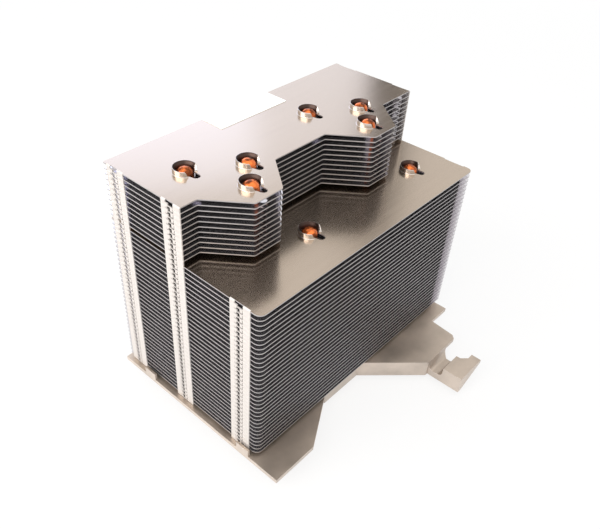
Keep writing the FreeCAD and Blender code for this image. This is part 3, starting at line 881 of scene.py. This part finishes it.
def pipe_path(low, high, radius, bend):
    """Middle line of a U pipe in X and Z, with the direction along it.

    Left leg down, quarter circle, run, quarter circle, right leg up, as whole arrays.
    """
    floor = low[2] + radius
    left, right = low[0] + radius, high[0] - radius
    turn = np.linspace(0, np.pi / 2, BEND_STEPS)
    legs_z = np.linspace(high[2], floor + bend, LEG_STEPS)[:-1]
    down = np.column_stack((np.full(len(legs_z), left), legs_z))
    first = np.column_stack((left + bend - bend * np.cos(turn), floor + bend - bend * np.sin(turn)))
    second = np.column_stack((
        right - bend + bend * np.sin(turn), floor + bend - bend * np.cos(turn)))
    up = np.column_stack((np.full(len(legs_z), right), legs_z[::-1]))
    line = np.vstack((down, first, second, up))
    along = np.vstack((
        np.tile((0.0, -1.0), (len(down), 1)), np.column_stack((np.sin(turn), -np.cos(turn))),
        np.column_stack((np.cos(turn), np.sin(turn))), np.tile((0.0, 1.0), (len(up), 1))))
    return line, along


def pipe_shell(name, sizes):
    """Tube of a heat pipe with a dome at each end.

    Rings stand square to the middle line. Towards each tip the radius falls as a quarter
    superellipse while the ring keeps rising: cosine and sine, each to the same power.
    """
    low, high = node_box(name)
    radius = (high[1] - low[1]) / 2
    centre_y = low[1] + radius
    line, along = pipe_path(low, high - (0, 0, sizes.tip - sizes.tip_rise), radius, sizes.bend)
    rise = np.linspace(0, np.pi / 2, DOME_STEPS)[1:-1]
    dome_r = radius * np.cos(rise) ** DOME_POWER
    dome_z = sizes.tip * np.sin(rise) ** DOME_POWER
    count = len(dome_r)
    start = np.column_stack((np.full(count, line[0, 0]), line[0, 1] + dome_z))[::-1]
    finish = np.column_stack((np.full(count, line[-1, 0]), line[-1, 1] + dome_z))
    line = np.vstack((start, line, finish))
    along = np.vstack((np.tile((0, -1.0), (count, 1)), along, np.tile((0, 1.0), (count, 1))))
    radii = np.concatenate((dome_r[::-1], np.full(len(line) - 2 * count, radius), dome_r))
    around = np.linspace(0, 2 * np.pi, sizes.sides, endpoint=False)
    inward = radii[:, None] * np.cos(around)
    x = line[:, 0, None] + inward * along[:, 1, None]
    y = centre_y + radii[:, None] * np.sin(around)
    z = line[:, 1, None] - inward * along[:, 0, None]
    return grid_shell(np.stack((x, y, z), axis=-1))


class HEATSINK_OT_pipes(Operator):
    """Makes the four heat pipes with domed tips"""
    bl_idname = "heatsink.pipes"
    bl_label = "Heat pipes"

    def execute(self, context):
        sizes = in_mm(context.scene.heatsink_pipes)
        copper = material_named("drawn_copper")
        for name in PIPE_NAMES:
            spots, faces = pipe_shell(name, sizes)
            piece = make_piece(f"{name}_tube", spots, faces, [0] * len(faces), [copper], True)
            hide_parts(name)
            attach(piece, "root")
        return {"FINISHED"}


# Frame, contact plate and label


FLAT = math.radians(1)  # Faces that meet at less than this are joined
NODE_DOUBLE = 1e-6  # Doubled points of a node are merged within this, in metres


def softened_copy(node, edge, material, edge_material):
    """Copy of a frame node with flat faces joined up and its sharp edges rounded."""
    mesh = bpy.data.objects[node].data.copy()
    work = bmesh.new()
    work.from_mesh(mesh)
    bmesh.ops.remove_doubles(work, verts=work.verts, dist=NODE_DOUBLE)
    bmesh.ops.dissolve_limit(work, angle_limit=FLAT, verts=work.verts, edges=work.edges)
    work.to_mesh(mesh)
    work.free()
    mesh.materials.clear()
    mesh.materials.append(material)
    mesh.materials.append(edge_material)
    piece = bpy.data.objects.new(f"{node}_softened", mesh)
    bpy.context.scene.collection.objects.link(piece)
    bevel = piece.modifiers.new("edges", "BEVEL")
    bevel.width = edge * MM
    bevel.segments = 2
    bevel.limit_method = "ANGLE"
    bevel.angle_limit = SHARP
    bevel.harden_normals = True
    bevel.material = 1
    mesh.shade_smooth()
    mesh.set_sharp_from_angle(angle=SHARP)
    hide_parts(node)
    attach(piece, "root")
    return piece


class HEATSINK_OT_frame(Operator):
    """Finishes the cast base frame and the contact plate"""
    bl_idname = "heatsink.frame"
    bl_label = "Frame and contact plate"

    def execute(self, context):
        sizes = in_mm(context.scene.heatsink_frame)
        # The cast frame's rounded edges take the painted highlight as their second material
        cast = softened_copy(
            "base_frame", sizes.edge, material_named("cast_aluminium"),
            material_named("rubbed_aluminium"))
        milled = material_named("milled_copper")
        plate = softened_copy("contact_plate", sizes.plate_edge, milled, milled)
        return {"FINISHED"}


class HEATSINK_OT_label(Operator):
    """Lays the bare label on the top fin"""
    bl_idname = "heatsink.label"
    bl_label = "Label"

    def execute(self, context):
        low, high = node_box("label")
        corners = [(low[0], low[1]), (high[0], low[1]), (high[0], high[1]), (low[0], high[1])]
        edge = round_corners(corners, in_mm(context.scene.heatsink_label).corner, 5)
        spots, faces = flat_plate([edge], low[2], high[2])
        paper = material_named("label_paper")
        piece = make_piece("label_sheet", spots, faces, [0] * len(faces), [paper])
        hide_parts("label")
        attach(piece, "root")
        return {"FINISHED"}


# Studio


# Photograph's viewpoint in millimetres and degrees, and its lens in pixels
CAMERA_PLACE = (-162.4, -129.7, 209.9)
CAMERA_TURN = (50.283, -1.708, -46.798)
FOCAL_PIXELS = 664.27
PRINCIPAL_POINT = (272.42, 278.65)
PHOTO_SIZE = (600, 529)
SENSOR = 36.0  # Width in millimetres
NEAREST = 0.01  # Metres in front of the camera from which things are seen

# The lengths of the lamps, the floor and the card are metres
LAMP_TARGET = (0.0, 0.0, 0.05)
LAMPS = (  # Name, place, width, height, setting of its power, colour
    ("key_lamp", (-0.54, 0.2, 0.42), 0.55, 0.55, "key", "#fffcfa"),
    ("glint_lamp", (-0.72, -0.26, 0.64), 0.38, 0.38, "glint", "#fffcfa"),
    ("wide_window", (0.667, 0.988, 0.618), 1.1, 0.435, "window", "#c3d5ff"),
    ("left_window", (0.504, 1.08, 0.618), 0.845, 0.435, "window", "#c3d5ff"),
    ("fill_lamp", (0.0, -0.3, 1.2), 1.5, 1.5, "fill", "#fffdfa"),
)
FLOOR_HALF = 4.0  # Middle of the floor to its edge
FLOOR_LEVEL = -0.0003  # Just under the contact plate, so that the two faces don't flicker
FLOOR_FADE = (0.12, 0.6)  # Where the floor starts and ends turning white
FLOOR_WHITE = 0.8  # Share of white in the floor near the object
CARD_AZIMUTHS = (27.5, 32.5)  # Degrees from X
CARD_HEIGHTS = (0.24, 0.68)
CARD_DISTANCE = 0.8
CARD_GREY = (0.12, 0.11, 0.1, 1.0)
WHITE = (1.0, 1.0, 1.0, 1.0)


def add_camera():
    """Camera at the photograph's viewpoint, fitted to the fins' even spacing."""
    data = bpy.data.cameras.new("camera")
    data.sensor_width = SENSOR
    data.lens = FOCAL_PIXELS / PHOTO_SIZE[0] * SENSOR
    data.shift_x = (PHOTO_SIZE[0] / 2 - PRINCIPAL_POINT[0]) / PHOTO_SIZE[0]
    data.shift_y = (PRINCIPAL_POINT[1] - PHOTO_SIZE[1] / 2) / PHOTO_SIZE[0]
    data.clip_start = NEAREST
    camera = bpy.data.objects.new("camera", data)
    camera.location = [value * MM for value in CAMERA_PLACE]
    camera.rotation_euler = [math.radians(value) for value in CAMERA_TURN]
    bpy.context.scene.collection.objects.link(camera)
    bpy.context.scene.camera = camera


def add_lamp(name, place, width, height, watts, tint):
    """Area lamp that faces the lamps' target."""
    data = bpy.data.lights.new(name, "AREA")
    data.shape = "RECTANGLE"
    data.size = width
    data.size_y = height
    data.energy = watts
    data.color = linear(tint)
    lamp = bpy.data.objects.new(name, data)
    aim = np.subtract(LAMP_TARGET, place)
    yaw = math.atan2(aim[1], aim[0]) - math.pi / 2
    pitch = math.atan2(aim[2], math.hypot(aim[0], aim[1])) + math.pi / 2
    lamp.location = place
    lamp.rotation_euler = (pitch, 0.0, yaw)
    bpy.context.scene.collection.objects.link(lamp)


def seen_share(tree):
    """One for camera, mirror and glass rays, and zero for all others."""
    rays = add_node(tree, "ShaderNodeLightPath").outputs
    seen = rays["Is Camera Ray"]
    for kind in ("Is Glossy Ray", "Is Transmission Ray"):
        seen = add_node(
            tree, "ShaderNodeMath", {0: seen, 1: rays[kind]}, operation="MAXIMUM").outputs[0]
    return seen


def floor_material(paint_colour):
    """Pale painted floor that keeps a soft shadow near the object and is white further out.

    From below it is clear, so that the underside of the object can be seen.
    """
    material, tree = start_material("studio_floor")
    reach = add_node(
        tree, "ShaderNodeVectorMath", {0: coordinates(tree)}, operation="LENGTH").outputs["Value"]
    share = add_node(
        tree, "ShaderNodeMath",
        {0: seen_share(tree), 1: ramp(tree, reach, *FLOOR_FADE, FLOOR_WHITE, 1.0)},
        operation="MULTIPLY").outputs[0]
    paint = add_node(tree, "ShaderNodeBsdfDiffuse", {"Color": rgba(paint_colour)})
    white = add_node(tree, "ShaderNodeEmission", {"Color": WHITE, "Strength": 1.0})
    top = add_node(
        tree, "ShaderNodeMixShader", {0: share, 1: paint.outputs[0], 2: white.outputs[0]})
    below = add_node(tree, "ShaderNodeNewGeometry").outputs["Backfacing"]
    clear = add_node(tree, "ShaderNodeBsdfTransparent")
    close_material(tree, add_node(
        tree, "ShaderNodeMixShader", {0: below, 1: top.outputs[0], 2: clear.outputs[0]}))
    return material


def card_material():
    """Dull dark grey card, a little warm."""
    material, tree = start_material("studio_card")
    close_material(tree, add_node(tree, "ShaderNodeBsdfDiffuse", {"Color": CARD_GREY}))
    return material


def add_world(ambient):
    """White world to camera, mirror and glass rays, and an even light on dull surfaces."""
    world = bpy.data.worlds.new("studio")
    world.use_nodes = True
    tree = world.node_tree
    tree.nodes.clear()
    strength = ramp(tree, seen_share(tree), 0.0, 1.0, ambient, 1.0)
    background = add_node(tree, "ShaderNodeBackground", {"Color": WHITE, "Strength": strength})
    add_node(tree, "ShaderNodeOutputWorld", {"Surface": background.outputs[0]})
    bpy.context.scene.world = world


def add_quad(name, corners, material):
    """One flat face with four corners in metres."""
    mesh = bpy.data.meshes.new(name)
    mesh.from_pydata(corners, [], [(0, 1, 2, 3)])
    mesh.materials.append(material)
    quad = bpy.data.objects.new(name, mesh)
    bpy.context.scene.collection.objects.link(quad)
    return quad


def add_card():
    """Grey card behind the right end that only mirror images show."""
    near, far = [
        (CARD_DISTANCE * math.cos(math.radians(azimuth)),
         CARD_DISTANCE * math.sin(math.radians(azimuth))) for azimuth in CARD_AZIMUTHS]
    low, high = CARD_HEIGHTS
    corners = [(*near, low), (*far, low), (*far, high), (*near, high)]
    card = add_quad("studio_card", corners, card_material())
    card.visible_camera = False
    card.visible_shadow = False
    return card


class HEATSINK_OT_stage(Operator):
    """Sets the camera, the lamps, the world and the pale floor"""
    bl_idname = "heatsink.stage"
    bl_label = "Stage"

    def execute(self, context):
        studio = context.scene.heatsink_studio
        add_camera()
        add_world(studio.ambient)
        for name, place, width, height, setting, tint in LAMPS:
            add_lamp(name, place, width, height, getattr(studio, setting), tint)
        half, level = FLOOR_HALF, FLOOR_LEVEL
        corners = [(-half, -half, level), (half, -half, level), (half, half, level),
                   (-half, half, level)]
        floor = add_quad("studio_floor", corners, floor_material(studio.floor))
        add_card()
        context.scene.view_settings.view_transform = "Standard"
        return {"FINISHED"}


# Add-on


class HEATSINK_PT_panel(Panel):
    """Lists the heatsink's pieces in the sidebar"""
    bl_idname = "HEATSINK_PT_panel"
    bl_label = "Heatsink"
    bl_space_type = "VIEW_3D"
    bl_region_type = "UI"
    bl_category = "Heatsink"

    def draw(self, context):
        for operator in OPERATORS:
            self.layout.operator(operator.bl_idname)
        for group in SETTINGS:
            settings = getattr(context.scene, group)
            for name in settings.__annotations__:
                self.layout.prop(settings, name)


OPERATORS = (
    HEATSINK_OT_finishes, HEATSINK_OT_stage, HEATSINK_OT_fins, HEATSINK_OT_pipes,
    HEATSINK_OT_frame, HEATSINK_OT_label,
)
SETTINGS = {
    "heatsink_fins": HeatsinkFinSettings,
    "heatsink_pipes": HeatsinkPipeSettings,
    "heatsink_frame": HeatsinkFrameSettings,
    "heatsink_label": HeatsinkLabelSettings,
    "heatsink_studio": HeatsinkStudioSettings,
    "heatsink_colours": HeatsinkColours,
}


def register():
    """Registers the settings, the operators and the panel."""
    for name, group in SETTINGS.items():
        bpy.utils.register_class(group)
        setattr(bpy.types.Scene, name, PointerProperty(type=group))
    for operator in OPERATORS:
        bpy.utils.register_class(operator)
    bpy.utils.register_class(HEATSINK_PT_panel)


def unregister():
    """Takes back what register did."""
    bpy.utils.unregister_class(HEATSINK_PT_panel)
    for operator in reversed(OPERATORS):
        bpy.utils.unregister_class(operator)
    for name, group in SETTINGS.items():
        delattr(bpy.types.Scene, name)
        bpy.utils.unregister_class(group)


def main():
    """Makes the whole scene."""
    register()
    bpy.ops.heatsink.finishes()
    bpy.ops.heatsink.stage()
    bpy.ops.heatsink.fins()
    bpy.ops.heatsink.pipes()
    bpy.ops.heatsink.frame()
    bpy.ops.heatsink.label()


if __name__ == "__main__":
    main()
